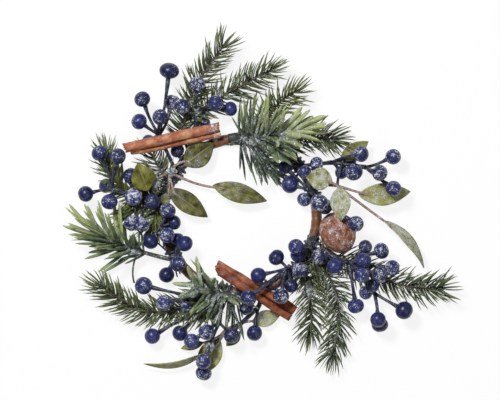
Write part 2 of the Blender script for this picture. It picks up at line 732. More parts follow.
# %% Finish of the berries: satin lacquer over foam
# Satin gives each berry one soft highlight, and its crown is darker than the rest.
berry_lacquer, tree = new_finish("satin_blue_lacquer")
where = node(tree, "TexCoord").outputs["Object"]
tone = node(tree, "Attribute", attribute_name="tone").outputs["Fac"]
snow = node(tree, "Attribute", attribute_name="snow").outputs["Fac"]
crown = node(tree, "Attribute", attribute_name="crown").outputs["Fac"]
lumps = node(tree, "TexNoise", {"Vector": where, "Scale": 1 / (3 * MM), "Detail": 3.0})
blend = node(tree, "Math", {0: lumps, 1: 0.5, 2: tone}, operation="MULTIPLY_ADD")
berry_tones = [(0.2, "#131637"), (0.5, "#22275a"), (0.85, "#383f7c")]
tones = node(tree, "ValToRGB", {0: blend}, stops=berry_tones)
capped = node(tree, "Mix", {0: crown, 6: tones, 7: colour("#10122c")}, data_type="RGBA")
sprinkled = node(tree, "MapRange", {"Value": snow, "To Min": 0.2, "To Max": 0.95})
height = node(tree, "Math", {0: lumps, 1: 0.2}, operation="MULTIPLY")
close_finish(
    tree, capped.outputs[2], height, roughness=0.33, snow=sprinkled,
    snow_colour="#dde1f2", haze=0.08, **{"Specular IOR Level": 0.4},
)
print(berry_lacquer.name)

# %% Berries
CROWN_FROM = 0.93
CROWN_DENT = 0.08
CROWN_SHADE = 0.4
BERRY_SQUASH = 0.97
BERRY_LEAN = 0.12
PRESSED_BERRY = (116, 54.5, 13)
PRESSED_WIDTH = 1.1


def make_berry():
    """Ball of radius 1 whose stalk end faces +Z, with a small dent at the other end."""
    bm = bmesh.new()
    for name in ("snow", "tone"):
        bm.verts.layers.float.new(name)
    crown = bm.verts.layers.float.new("crown")
    bmesh.ops.create_uvsphere(bm, u_segments=28, v_segments=18, radius=1.0)
    for vert in bm.verts:
        depth = max(0.0, -vert.co.z - CROWN_FROM) / (1 - CROWN_FROM)
        vert[crown] = CROWN_SHADE * min(1.0, depth * 1.3)
        vert.co.z = vert.co.z * BERRY_SQUASH + depth * CROWN_DENT
    return mesh_of("berry", bm)


berry = make_berry()
rng = random.Random("berries")
for name, stems in BERRY_SPRAYS.items():
    bm = bmesh.new()
    for foot, chain in stems:
        for hub, group in chain:
            for place, size, snow in group:
                centre = at(*place)
                radius = size / 2 * MM
                lean = Vector([rng.gauss(0, BERRY_LEAN) for axis in range(3)])
                pose = facing(centre, (at(*hub) - centre).normalized() + lean)
                wide = PRESSED_WIDTH if place == PRESSED_BERRY else rng.uniform(0.95, 1.05)
                oval = Matrix.Diagonal((radius * wide, radius * rng.uniform(0.95, 1.02), radius / wide, 1))
                stamp(bm, berry, pose @ oval, snow=snow, tone=rng.uniform(0.05, 0.4))
    piece_name = "lacquered_berries_" + name
    add_piece(piece_name, bm, berry_lacquer, "berry_skin", "berries_" + name, mend_normals=False)

# %% [markdown]
# The berry branches are thin wire in a dark blue sleeve that flares where it meets the berry. Each
# branch leaves its fork in a slight bow, because the wires are bent apart by hand. The main wire is a
# little thicker and ends in a swollen fork. Its other end is wound round the hoop, and offcuts of wire
# stay in the winding. Two thicker wires run on from a fork to a berry of another, one of them over the
# lower stick.

# %% Finish of the branches: dark sleeve on wire
# Scuffs lighten the sleeve here and there, and the snow on it looks grey.
sleeve_tones = [(0.35, "#10121f"), (0.75, "#2b2e4a")]
branch_sleeve = noise_finish(
    "dark_blue_sleeve", 1.5, 3.0, sleeve_tones, relief=0.15, roughness=0.45, snow=0.42, snow_colour="#b4bad2"
)

# %% Wire ends on the hoop
WOUND_POINTS = 45
WOUND_RADIUS = 4.7
WOUND_LOWEST = -2.0
WOUND_DEGREES = 10
WOUND_STEP = 0.4
LOOSE_ENDS = 8


def wound_wire(foot, rng):
    """Path of the last turns of a main wire round the hoop."""
    first = rng.uniform(0, 2 * math.pi)
    path = []
    for step in range(WOUND_POINTS):
        angle = foot + WOUND_DEGREES * (step / WOUND_POINTS - 0.5)
        turn = first + step * WOUND_STEP
        up = max(WOUND_RADIUS * math.sin(turn), WOUND_LOWEST)
        path.append(at(angle, WOUND_RADIUS * math.cos(turn), up))
    return path


def loose_end(foot, rng):
    """Short bent wire that stands off the hoop."""
    side = rng.choice((-1, 1))
    start = at(foot + side * rng.uniform(0, 4), rng.uniform(-1, 2.5), 3.4)
    end = at(foot + side * rng.uniform(8, 15), rng.uniform(-2, 9), rng.uniform(2.2, 4.6))
    return bow(start, (start + end) / 2 + UP * rng.uniform(0, 0.8) * MM, end, 5)


print("a wound wire has", WOUND_POINTS, "points")

# %% Berry branches
WOUND_WIRE_RADIUS = 0.8
LOOSE_RADII = [0.75, 0.7, 0.65, 0.6, 0.5]
MAIN_RADII = [1.3, 1.3, 1.25, 1.25, 1.3, 1.45, 1.7]
BRANCH_RADII = [1.25, 1.1, 1.0, 0.95, 0.95, 1.0, 1.1, 1.45, 1.6]
CROSSING_RADII = [1.7, 1.6, 1.5, 1.5, 1.5, 1.5, 1.5, 1.5, 1.6]
CROSSING_WIRES = {
    "inner_right": ((312, -4, 9), (294.7, -3, 14.5), (279.2, 1.8, 18.4)),
    "bottom": ((282, 10, 4), (275, 15.8, 3.5), (266.4, 25.2, 8)),
}
# How far a wire bows up and to the side, as shares of its length, and how deep it sits in its berry
MAIN_RISE = 0.04
BRANCH_RISE = 0.03
BRANCH_SWAY = 0.035
STALK_DEPTH = 1.6
rng = random.Random("branches")
for name, stems in BERRY_SPRAYS.items():
    bm = bmesh.new()
    for foot, chain in stems:
        start = at(foot, 0, 0)
        grow_tube(bm, wound_wire(foot, rng), [WOUND_WIRE_RADIUS * MM] * WOUND_POINTS)
        for tail in range(LOOSE_ENDS):
            grow_tube(bm, loose_end(foot, rng), in_metres(LOOSE_RADII), sides=6)
        for hub_place, group in chain:
            hub = at(*hub_place)
            middle = (start + hub) / 2 + UP * (MAIN_RISE * (hub - start).length)
            grow_tube(bm, bow(start, middle, hub, len(MAIN_RADII)), in_metres(MAIN_RADII), sides=10)
            for place, size, snow in group:
                centre = at(*place)
                inward = (centre - hub).normalized()
                end = centre - inward * (size / 2 - STALK_DEPTH) * MM
                sway = Vector([rng.gauss(0, BRANCH_SWAY) for axis in range(3)]) + UP * BRANCH_RISE
                middle = (hub + end) / 2 + sway * (end - hub).length
                grow_tube(bm, bow(hub, middle, end, len(BRANCH_RADII)), in_metres(BRANCH_RADII))
            start = hub
    if name in CROSSING_WIRES:
        path = bow(*[at(*place) for place in CROSSING_WIRES[name]], len(CROSSING_RADII))
        grow_tube(bm, path, in_metres(CROSSING_RADII), sides=10)
    add_piece("berry_branches_" + name, bm, branch_sleeve, "berry_wire", "berry_stem_" + name)

# %% [markdown]
# The leaves are stamped from waxed cloth on a wire. They are listed spray by spray: the foot on the
# hoop, the fork, and then each leaf by its base, its tip, its width, how far it is rolled, its snow and
# its tone. A leaf starts as a flat grid, is pinched to its outline, bowed along its length and folded a
# little at the midrib, and then gets its thickness. A grid keeps the veins straight in its UV map.

# %% Leaf layout
LEAF_SPRAYS = {
    "left": (150, (148, 4, 7), {
        "left_round": ((165, 12, 17.5), (153, 24.5, 19.5), 16.0, 8, 0.1, 0.07),
        "left_upper": ((138, -1, 4.5), (110, 0, 4.2), 17.0, 0, 0.4, -0.1),
        "left_lower": ((159.5, -0.2, 6), (183, -29, 4), 13.5, 0, 0.3, -0.06),
        "left_small": ((163, -2.5, 5.5), (172, 2.5, 5.5), 6.5, 0, 0.5, 0.0),
        "left_long": ((132, -23.5, 6), (28, -30, 4), 13.0, 0, 0.48, 0.0),
    }),
    "right": (25, (17, 16, 16), {
        "right_inner": ((21, 14, 17), (30, -0.5, 17), 15.0, 0, 1.15, 0.22),
        "right_down": ((16, 17, 20), (357, 15.5, 23), 13.5, 0, 1.5, 0.22),
        "right_long": ((10, 28, 9), (8, 62, 5), 15.0, 10, 0.85, 0.3),
        "right_upper": ((29, 24.5, 7), (30, 46.5, 6.5), 10.5, 0, 0.45, 0.25),
        "right_edge": ((358, 43, 13), (344, 74.5, 6), 12.0, -58, 1.7, 0.22),
    }),
    "bottom": (262, (263, 25, 2), {
        "bottom_edge": ((255, 43, 4.5), (237, 65, 4), 9.0, -60, 0.75, 0.4),
        "bottom_small": ((254, 36, 2), (246, 45, 0), 6.0, 0, 0.5, 0.28),
        "bottom_wide": ((260, 30.5, -0.5), (256, 57.5, -2), 15.5, 0, 0.6, 0.32),
        "bottom_right": ((270, 25.5, 2), (264, 35.5, 2), 8.0, 0, 0.6, 0.15),
        "bottom_tucked": ((276.5, 20, 0), (292.5, 19.5, 0), 11.0, 0, 1.4, 0.35),
    }),
}
LEAF_BOW = 0.10


def leaf_pose(base, tip, roll):
    """Matrix at a leaf's base with X to its tip and Z out of its face."""
    x = (tip - base).normalized()
    face = (UP - x * x.z).normalized()
    face.rotate(Matrix.Rotation(math.radians(roll), 3, x))
    return Matrix.Translation(base) @ Matrix((x, face.cross(x), face)).transposed().to_4x4()


def leaf_rise(length, share):
    """How far the bow lifts a leaf at a share of its length."""
    return 4 * LEAF_BOW * length * share * (1 - share)


def on_leaf(pose, length, share):
    """Point on the middle line of a bowed leaf."""
    return pose @ Vector((share * length, 0, leaf_rise(length, share)))


print(sum(len(leaves) for foot, hub, leaves in LEAF_SPRAYS.values()), "leaves")

# %% Finish of the leaves: waxed cloth
# Wax makes the cloth dull. Paler veins are pressed into it, and the snow thins out towards the tip.
VEINS = 9
VEIN_SLANT = -0.45
leaf_cloth, tree = new_finish("waxed_leaf_cloth")
where = node(tree, "TexCoord").outputs["Object"]
snow = node(tree, "Attribute", attribute_name="snow").outputs["Fac"]
tone = node(tree, "Attribute", attribute_name="tone").outputs["Fac"]
spread_out = node(tree, "UVMap", uv_map="leaf")
split = node(tree, "SeparateXYZ", {0: spread_out}).outputs
side = node(tree, "Math", {0: split["Y"]}, operation="ABSOLUTE")
swept = node(tree, "Math", {0: side, 1: VEIN_SLANT, 2: split["X"]}, operation="MULTIPLY_ADD")
waves = node(tree, "Math", {0: swept, 1: 2 * math.pi * VEINS}, operation="MULTIPLY")
veins = node(tree, "Math", {0: waves}, operation="SINE")
thin = node(tree, "MapRange", {"Value": veins, "From Min": 0.86, "From Max": 1.0})
rib = node(tree, "MapRange", {"Value": side, "From Min": 0.10, "From Max": 0.03})
lines = node(tree, "Math", {0: thin, 1: rib}, operation="MAXIMUM")
mottle = node(tree, "TexNoise", {"Vector": where, "Scale": 1 / (5 * MM), "Detail": 4.0})
shade = node(tree, "Math", {0: mottle, 1: tone}, operation="ADD")
leaf_tones = [(0.32, "#302e0c"), (0.48, "#53531a"), (0.66, "#797830"), (0.95, "#a4a352")]
tones = node(tree, "ValToRGB", {0: shade}, stops=leaf_tones)
paler = node(tree, "Math", {0: lines, 1: 0.5}, operation="MULTIPLY")
veined = node(tree, "Mix", {0: paler, 6: tones, 7: colour("#8f8d5a")}, data_type="RGBA")
height = node(tree, "Math", {0: lines, 1: 0.2}, operation="MULTIPLY")
fade = node(tree, "Math", {0: split["X"], 1: -0.7, 2: 1.2}, operation="MULTIPLY_ADD")
dusted = node(tree, "Math", {0: snow, 1: fade}, operation="MULTIPLY")
close_finish(
    tree, veined.outputs[2], height, roughness=0.55, snow=dusted,
    snow_colour="#cccec3", haze=0.52, **{"Specular IOR Level": 0.25},
)
print(leaf_cloth.name)

# %% Leaves
LEAF_FULLNESS = 0.92
LEAF_BLUNTNESS = 0.8
LEAF_TIP_TAPER = 0.15
LEAF_RIPPLE = 0.05
LEAF_FOLD = 0.16
CLOTH_THICKNESS = 0.5


def make_leaf(name, base, tip, width, roll, snow, tone):
    """Cuts one leaf out of a grid, bends it and sets it between its base and its tip."""
    length = (tip - base).length
    rng = random.Random(name)
    seed = Vector([rng.uniform(0, 30) for axis in range(3)])
    bm = bmesh.new()
    frosted = bm.verts.layers.float.new("snow")
    toned = bm.verts.layers.float.new("tone")
    uv = bm.loops.layers.uv.new("leaf")
    bmesh.ops.create_grid(bm, x_segments=28, y_segments=10, size=1.0)
    for face in bm.faces:
        for loop in face.loops:
            loop[uv].uv = ((loop.vert.co.x + 1) / 2, loop.vert.co.y)
    for vert in bm.verts:
        share, side = (vert.co.x + 1) / 2, vert.co.y
        outline = max(0.0, math.sin(math.pi * share**LEAF_FULLNESS)) ** LEAF_BLUNTNESS
        half = width * MM / 2 * outline * (1 - LEAF_TIP_TAPER * share**3)
        ripple = noise.noise(Vector((share * 4, side * 1.5, 0)) + seed) * LEAF_RIPPLE * width * MM
        fold = LEAF_FOLD * abs(side) ** 1.3 * half + ripple * abs(side) * math.sin(math.pi * share)
        vert.co = Vector((share * length, side * half, leaf_rise(length, share) + fold))
        vert[frosted] = snow
        vert[toned] = tone
    bmesh.ops.remove_doubles(bm, verts=bm.verts, dist=1e-6)
    bm.transform(leaf_pose(base, tip, roll))
    piece = add_piece("cloth_" + name, bm, leaf_cloth, "leaf_blade", "leaf_" + name)
    cloth = piece.modifiers.new("cloth thickness", "SOLIDIFY")
    cloth.thickness = CLOTH_THICKNESS * MM
    cloth.offset = 0.0


for foot, hub, leaves in LEAF_SPRAYS.values():
    for name, (base, tip, width, roll, snow, tone) in leaves.items():
        make_leaf(name, at(*base), at(*tip), width, roll, snow, tone)

# %% [markdown]
# The leaf wires are wrapped in a pinkish brown paper. Each runs from its fork to the leaf and on
# under the midrib, getting thinner, which is what holds the leaf in its bow. One of them has a dark
# sleeve like the berry branches in place of the paper, so it becomes a piece of its own.

# %% Finish of the leaf wires: wrapped paper
# Soft paper fibres, pale and dull, under a good deal of snow.
paper_tones = [(0.35, "#7a5c48"), (0.7, "#b39a88")]
wire_paper = noise_finish("brown_wrapped_wire", 1.0, 3.0, paper_tones, relief=0.15, roughness=0.6, snow=0.55)

# %% Leaf wires
DARK_WIRES = ("right_upper",)
LEAF_SEAT = 0.16
LEAF_STEM_RADII = [1.0] * 5
LEAF_WIRE_SWAY = 0.05
WIRE_RADII = [1.0, 0.95, 0.9, 0.86, 0.84, 0.82, 0.8, 0.76, 0.66]
RIB_SHARES = [0.3, 0.45, 0.6]
RIB_RADII = [0.5, 0.4, 0.25]
RIB_DROP = 0.6
for name, (foot, hub_place, leaves) in LEAF_SPRAYS.items():
    rng = random.Random("wires " + name)
    papered, dark = bmesh.new(), bmesh.new()
    start, hub = at(foot, 0, 0), at(*hub_place)
    stem = bow(start, (start + hub) / 2, hub, len(LEAF_STEM_RADII))
    grow_tube(papered, stem, in_metres(LEAF_STEM_RADII))
    for leaf_name, (base, tip, width, roll, snow, tone) in leaves.items():
        base, tip = at(*base), at(*tip)
        pose, length = leaf_pose(base, tip, roll), (tip - base).length
        seat = on_leaf(pose, length, LEAF_SEAT)
        sway = Vector([rng.gauss(0, LEAF_WIRE_SWAY) for axis in range(3)])
        path = bow(hub, (hub + seat) / 2 + sway * (seat - hub).length, seat, len(WIRE_RADII))
        drop = pose.col[2].to_3d() * RIB_DROP * MM
        path += [on_leaf(pose, length, share) - drop for share in RIB_SHARES]
        grow_tube(dark if leaf_name in DARK_WIRES else papered, path, in_metres(WIRE_RADII + RIB_RADII))
    add_piece("leaf_wires_" + name, papered, wire_paper, "leaf_wire", "leaf_stem_" + name)
    if dark.verts:
        add_piece("bare_leaf_wires_" + name, dark, branch_sleeve, "leaf_wire", "leaf_stem_" + name)

# %% [markdown]
# A needle may not grow through a berry, a leaf or a stick. Everything solid is noted here as balls, and
# a needle that would run into one is shortened or left off. On the real ring the soft needles just slide
# past.

# %% Space that is already taken
HOOP_BALL = 3.6
STICK_BALL = 5.0
STICK_LIFTS = (0, 6, 12)
NUT_BALL = 11.0
LEAF_BALL = 1.0
BALLS_ALONG_STICK = 24
BALLS_ALONG_LEAF = 12


def leaf_balls(base, tip, width, roll):
    """Balls over the whole blade of a leaf, in rows of five."""
    pose, length = leaf_pose(base, tip, roll), (tip - base).length
    for step in range(BALLS_ALONG_LEAF + 1):
        share = step / BALLS_ALONG_LEAF
        middle = on_leaf(pose, length, share)
        half = 2 * width * MM * share * (1 - share)
        for side in (-1, -0.5, 0, 0.5, 1):
            yield (*(middle + pose.col[1].to_3d() * side * half), LEAF_BALL * MM)


balls = [(*at(*place), size / 2 * MM) for place, size, snow in ALL_BERRIES]
balls += [(*at(angle, 0, 0), HOOP_BALL * MM) for angle in range(0, 360, 2)]
for stick in STICKS.values():
    start, end = at(*stick["start"]), at(*stick["end"])
    for lift in STICK_LIFTS:
        for step in range(BALLS_ALONG_STICK + 1):
            middle = start.lerp(end, step / BALLS_ALONG_STICK) + UP * lift * MM
            balls.append((*middle, STICK_BALL * MM))
balls += [(*(at(*NUT_PLACE) + nut_along * step * MM), NUT_BALL * MM) for step in (-4, 0, 4)]
for foot, hub, leaves in LEAF_SPRAYS.values():
    for base, tip, width, roll, snow, tone in leaves.values():
        balls += leaf_balls(at(*base), at(*tip), width, roll)
balls = np.array(balls)


def is_clear(points, radius):
    """True when no point comes nearer than a radius to anything solid."""
    gaps = np.linalg.norm(balls[None, :, :3] - np.array([tuple(p) for p in points])[:, None, :], axis=2)
    return (gaps - balls[None, :, 3]).min() > radius


print(len(balls), "balls")

# %% [markdown]
# Two kinds of moulded plastic sprig grow between the berries. The fine one has thin dark needles like
# a spruce, and the broad one has flat straps, dark at the root and yellow green at the tip, like new
# growth on a fir. Each kind has one needle of a few dozen faces, grown as a flattened tube.


# %% Finishes of the needles: moulded polythene
# Polythene has a waxy sheen. Its colour gets paler along each needle, and most snow stays near the root.
def needle_finish(name, stops, roughness):
    """Colour that runs from root to tip, with its own snow for each needle."""
    material, tree = new_finish(name)
    where = node(tree, "TexCoord").outputs["Object"]
    along = node(tree, "Attribute", attribute_name="along").outputs["Fac"]
    tone = node(tree, "Attribute", attribute_name="tone").outputs["Fac"]
    snow = node(tree, "Attribute", attribute_name="snow").outputs["Fac"]
    mottle = node(tree, "TexNoise", {"Vector": where, "Scale": 1 / (4 * MM), "Detail": 2.0})
    shift = node(tree, "Math", {0: mottle, 1: 0.3, 2: tone}, operation="MULTIPLY_ADD")
    place = node(tree, "Math", {0: along, 1: 0.6, 2: shift}, operation="MULTIPLY_ADD")
    tones = node(tree, "ValToRGB", {0: place}, stops=stops)
    to_the_tip = {"Value": along, "From Min": 0.1, "From Max": 0.9, "To Min": 1.0, "To Max": 0.45}
    fade = node(tree, "MapRange", to_the_tip)
    dusted = node(tree, "Math", {0: snow, 1: fade}, operation="MULTIPLY")
    height = node(tree, "Math", {0: mottle, 1: 0.1}, operation="MULTIPLY")
    close_finish(tree, tones, height, roughness, dusted, snow_colour="#dbe1e0", haze=0.22)
    return material


pine_tones = [(0.15, "#1c2513"), (0.5, "#3b4727"), (0.95, "#707b45")]
fir_tones = [(0.12, "#26352b"), (0.5, "#576a44"), (0.95, "#a5ae76")]
pine_plastic = needle_finish("moulded_spruce_needle", pine_tones, 0.45)
fir_plastic = needle_finish("moulded_fir_needle", fir_tones, 0.42)
print(pine_plastic.name, fir_plastic.name)

# %% Finishes of the twigs: brown bark and green plastic
# The fine sprigs have a rough brown twig, and the broad ones a scaly green one with more snow on it.
bark_tones = [(0.35, "#33281a"), (0.7, "#66482c")]
green_tones = [(0.35, "#2c3526"), (0.7, "#5d6448")]
twig_bark = noise_finish("brown_twig_bark", 1.1, 4.0, bark_tones, relief=0.3, roughness=0.7, snow=0.35)
green_twig = noise_finish("moulded_green_twig", 1.4, 3.0, green_tones, relief=0.3, roughness=0.6, snow=0.65)

# %% Needle shapes
# A profile lists shares of the length and the half width there.
THIN_PROFILE = [(0.0, 0.35), (0.12, 0.48), (0.36, 0.5), (0.6, 0.46), (0.82, 0.36), (1.0, 0.06)]
STRAP_PROFILE = [(0.0, 0.24), (0.12, 0.4), (0.4, 0.5), (0.7, 0.48), (0.9, 0.34), (1.0, 0.08)]


def make_needle(name, sides, profile, bend):
    """Needle of length 1 along X and width 1, curved by its bend in Y and Z towards the tip."""
    bm = bmesh.new()
    path = [Vector((share, 0, 0)) for share, half in profile]
    grow_tube(bm, path, [half for share, half in profile], sides)
    bmesh.ops.recalc_face_normals(bm, faces=bm.faces)
    for layer in ("snow", "tone"):
        bm.verts.layers.float.new(layer)
    along = bm.verts.layers.float.new("along")
    for vert in bm.verts:
        vert[along] = vert.co.x
        vert.co += Vector((0, bend[0], bend[1])) * vert.co.x**2
    return mesh_of(name, bm)


thin_needle = make_needle("thin_needle", 4, THIN_PROFILE, (3.4, 0.0))
strap_needle = make_needle("strap_needle", 6, STRAP_PROFILE, (0.4, -1.6))
print(len(thin_needle.polygons), "and", len(strap_needle.polygons), "faces")

# %% [markdown]
# A sprig is a bowed twig from a foot on the hoop, through a middle place, to its tip. Side twigs leave
# it at a share of its length, and the short ones near the foot fill in the green close to the hoop.
# Tint makes the needles of a sprig paler, frost says how much snow they hold, and spacing is the way
# along the twig from one needle to the next. Needles could be scattered over the twig at random, but
# clumps and gaps would show. Here they follow each other round the twig by the golden angle, as leaves
# do on many plants, which spreads them evenly.

# %% Sprig layout
PINE_SPRIGS = {
    "top": dict(
        twig=(130, (115, 29.5, 5), (93, 66, 13)),
        side_twigs=[(0.36, (97, 29, 7), (76, 49.5, 12))],
        tint=0.1, frost=0.65, longest=15.5, spacing=0.36,
    ),
    "upper_right": dict(
        twig=(72, (73, 20.5, 6), (65, 40, 11)),
        side_twigs=[],
        tint=0.3, frost=0.35, longest=15.5, spacing=0.38,
    ),
    "right_upper": dict(
        twig=(58, (49, 17, 8), (37, 30, 6)),
        side_twigs=[],
        tint=0.0, frost=0.55, longest=15.5, spacing=0.38,
    ),
    "left": dict(
        twig=(163, (167, 28.5, 3), (152, 49.5, 9)),
        side_twigs=[(0.3, (176, 18, 4), (182, 26, 5)), (0.06, (179, 5, 5), (188, 8, 5))],
        tint=0.62, frost=0.25, longest=13.5, spacing=0.25,
    ),
    "lower_left": dict(
        twig=(247, (229, 33.5, 2.5), (203, 54, 6.5)),
        side_twigs=[(0.15, (250, 12, 5), (243, 22, 6))],
        tint=0.14, frost=0.5, longest=15.5, spacing=0.3,
    ),
    "bottom": dict(
        twig=(333, (319, 34, 4), (302, 61, 5)),
        side_twigs=[(0.08, (330, 6, 4), (322, 12, 5))],
        tint=0.0, frost=0.85, longest=15.5, spacing=0.35,
    ),
    "bottom_short": dict(
        twig=(322, (310, 21.5, 3), (300, 40.5, 4)),
        side_twigs=[],
        tint=0.0, frost=0.65, longest=15.5, spacing=0.35,
    ),
    "right_lower": dict(
        twig=(342, (336, 53.5, 5), (341, 92.5, 7)),
        side_twigs=[(0.1, (338, 10, 4), (335, 20, 4))],
        tint=0.0, frost=0.7, longest=15.5, spacing=0.38,
    ),
    "inner_left": dict(
        twig=(156, (151, 8.5, 4), (145, 20.5, 4)),
        side_twigs=[(0.3, (160, 10, 4), (166, 16, 5))],
        tint=0.0, frost=0.95, longest=15.5, spacing=0.38,
    ),
}
TWIG_POINTS = 17


def spot_on(path, share):
    """Point and direction at a share of a path."""
    place = share * (len(path) - 1)
    index = min(int(place), len(path) - 2)
    return path[index].lerp(path[index + 1], place - index), (path[index + 1] - path[index]).normalized()


def twig_paths(sprig):
    """Paths of the main twig and of its side twigs."""
    foot, middle, tip = sprig["twig"]
    paths = [bow(at(foot, 0, 0), at(*middle), at(*tip), TWIG_POINTS)]
    for share, side_middle, side_tip in sprig["side_twigs"]:
        paths.append(bow(spot_on(paths[0], share)[0], at(*side_middle), at(*side_tip), TWIG_POINTS))
    return paths


def path_length(path):
    """Length of a path in millimetres."""
    return sum((b - a).length for a, b in zip(path, path[1:])) / MM


def tapered(radii):
    """Radii of a twig, in metres, that run evenly from the first to the last."""
    return [between(radii, step / (TWIG_POINTS - 1)) * MM for step in range(TWIG_POINTS)]


print(len(PINE_SPRIGS), "fine sprigs")

# %% [markdown]
# Needles lean out near the foot of a twig and close up towards its tip, where a last few fan out. A
# moulded sprig comes out of its press half flat, so the needles spread sideways more than up and down.
# A needle that would dip below the table or run into a berry is made shorter, or left off.

# %% Setting a needle
GOLDEN_TURN = math.pi * (3 - math.sqrt(5))
FLATTENED = 0.5
NEEDLE_LIFT = 0.15
TRIED_LENGTHS = (1.0, 0.75, 0.5)
NEEDLE_DEPTH = 0.8


def set_needle(bm, template, root, along, flat, length, width, **values):
    """Stamps a needle at its root, shortened where its way is not clear, or leaves it off."""
    for share in TRIED_LENGTHS:
        points = [root + along * (length * share * step / 6) for step in range(2, 7)]
        if min(point.z for point in points) > width / 2 and is_clear(points, width * 0.35):
            sizes = (along * (length * share), flat * width, along.cross(flat) * (NEEDLE_DEPTH * MM))
            axes = Matrix(sizes).transposed().to_4x4()
            stamp(bm, template, Matrix.Translation(root) @ axes, **values)
            return


def out_of_twig(ahead, turn):
    """Direction square to a twig, at a turn round it, pressed towards the level plane."""
    upward = (UP - ahead * ahead.z).normalized()
    height = FLATTENED * math.sin(turn) + NEEDLE_LIFT
    return (upward.cross(ahead) * math.cos(turn) + upward * height).normalized()


print("lengths tried:", TRIED_LENGTHS)

# %% Fine sprigs
PINE_SHARES = (0.04, 0.93)
PINE_TWIG_RADII = (0.95, 0.55)
PINE_WIDTH = 1.0
FOOT_LEAN = 72
LEAN_LOST = 18
FAN_LEANS = (8, 58)
FAN_NEEDLES = 12


def grow_pine(bm, path, sprig, rng):
    """Needles along a twig. At its end a few more fan out."""
    first, last = PINE_SHARES
    count = int(path_length(path) * (last - first) / sprig["spacing"]) + FAN_NEEDLES
    for index in range(count):
        progress = min(1.0, index / (count - FAN_NEEDLES))
        root, ahead = spot_on(path, between(PINE_SHARES, progress))
        outward = out_of_twig(ahead, index * GOLDEN_TURN + rng.gauss(0, 0.3))
        lean = FOOT_LEAN - LEAN_LOST * progress**2 if progress < 1 else rng.uniform(*FAN_LEANS)
        lean = math.radians(lean + rng.gauss(0, 7))
        along = ahead * math.cos(lean) + outward * math.sin(lean)
        forward = (ahead - along * ahead.dot(along)).normalized()
        length = sprig["longest"] * MM * rng.uniform(0.72, 1.08)
        snow = min(1.0, max(0.0, rng.gauss(sprig["frost"] * (1.2 - 0.7 * progress), 0.15)))
        tone = sprig["tint"] + rng.uniform(0, 0.3)
        set_needle(bm, thin_needle, root, along, forward, length, PINE_WIDTH * MM, snow=snow, tone=tone)


for name, sprig in PINE_SPRIGS.items():
    rng = random.Random("pine " + name)
    needles, twigs = bmesh.new(), bmesh.new()
    for path in twig_paths(sprig):
        shares = [PINE_SHARES[1] * step / (TWIG_POINTS - 1) for step in range(TWIG_POINTS)]
        grow_tube(twigs, [spot_on(path, share)[0] for share in shares], tapered(PINE_TWIG_RADII), sides=7)
        grow_pine(needles, path, sprig, rng)
    piece_name = "spruce_needles_" + name
    add_piece(piece_name, needles, pine_plastic, "pine_needle", "pine_sprig_" + name, mend_normals=False)
    add_piece("spruce_twig_" + name, twigs, twig_bark, "pine_needle", "pine_sprig_" + name)

# %% [markdown]
# A broad sprig holds narrow dark straps of last year along its twig and wide pale ones of this year
# over the outer half. Each kind is listed with where it grows, and with its lengths, widths, leans and
# tones from the first strap to the last. Sweep turns the straps on one side of the twig forward by up to
# that many degrees, and its sign says which side. Straps that point towards the top of the picture are
# a little paler. One sprig has a side twig, and one a bare stem below it.

# %% Layout of the broad sprigs
OLD_LOOKS = dict(widths=(1.7, 2.6), tones=(-0.2, 0.05))
FIR_SPRIGS = {
    "top": dict(
        twig=(94, (73, 3.5, 10), (55, 17.5, 18)),
        side_twigs=[(0.15, (75, -9.3, 6), (56.6, -14.6, 3))], bare_stems=[],
        old=dict(shares=(0.08, 0.58), lengths=(34, 28), leans=(86, 50), spacing=0.27, **OLD_LOOKS),
        new=dict(
            shares=(0.5, 1.0), lengths=(28, 22), leans=(80, 10), spacing=0.85,
            widths=(4.2, 4.2), tones=(0.27, 0.47),
        ),
        sweep=34, frost=0.9,
    ),
    "left": dict(
        twig=(216, (199, 20, 6), (187, 45, 11)),
        side_twigs=[], bare_stems=[(0.5, (206.1, 27.5, 4.5), (212.5, 31.7, 2.5))],
        old=dict(shares=(0.4, 0.85), lengths=(19, 29), leans=(60, 38), spacing=0.42, **OLD_LOOKS),
        new=dict(
            shares=(0.5, 1.0), lengths=(33, 28), leans=(80, 22), spacing=1.15,
            widths=(2.9, 2.9), tones=(0.12, 0.32),
        ),
        sweep=-22, frost=0.5,
    ),
    "bottom": dict(
        twig=(271, (256, 2.5, 10), (238, 3, 17)),
        side_twigs=[], bare_stems=[],
        old=dict(shares=(0.12, 0.65), lengths=(34, 28), leans=(86, 50), spacing=0.36, **OLD_LOOKS),
        new=dict(
            shares=(0.5, 1.0), lengths=(28, 22), leans=(85, 45), spacing=1.1,
            widths=(3.8, 3.8), tones=(-0.04, 0.16),
        ),
        sweep=0, frost=0.85,
    ),
}
SIDE_STRAPS = dict(
    shares=(0.2, 1.0), lengths=(23, 18), leans=(64, 20), spacing=0.36,
    widths=(1.7, 2.3), tones=(-0.22, -0.05),
)
print(len(FIR_SPRIGS), "broad sprigs")

# %% Broad sprigs
FIR_TWIG_RADII = (1.6, 0.9)
SIDE_TWIG_RADII = (1.2, 0.7)
BARE_STEM_RADII = [0.65] * 9
PALER_UPWARDS = 0.25


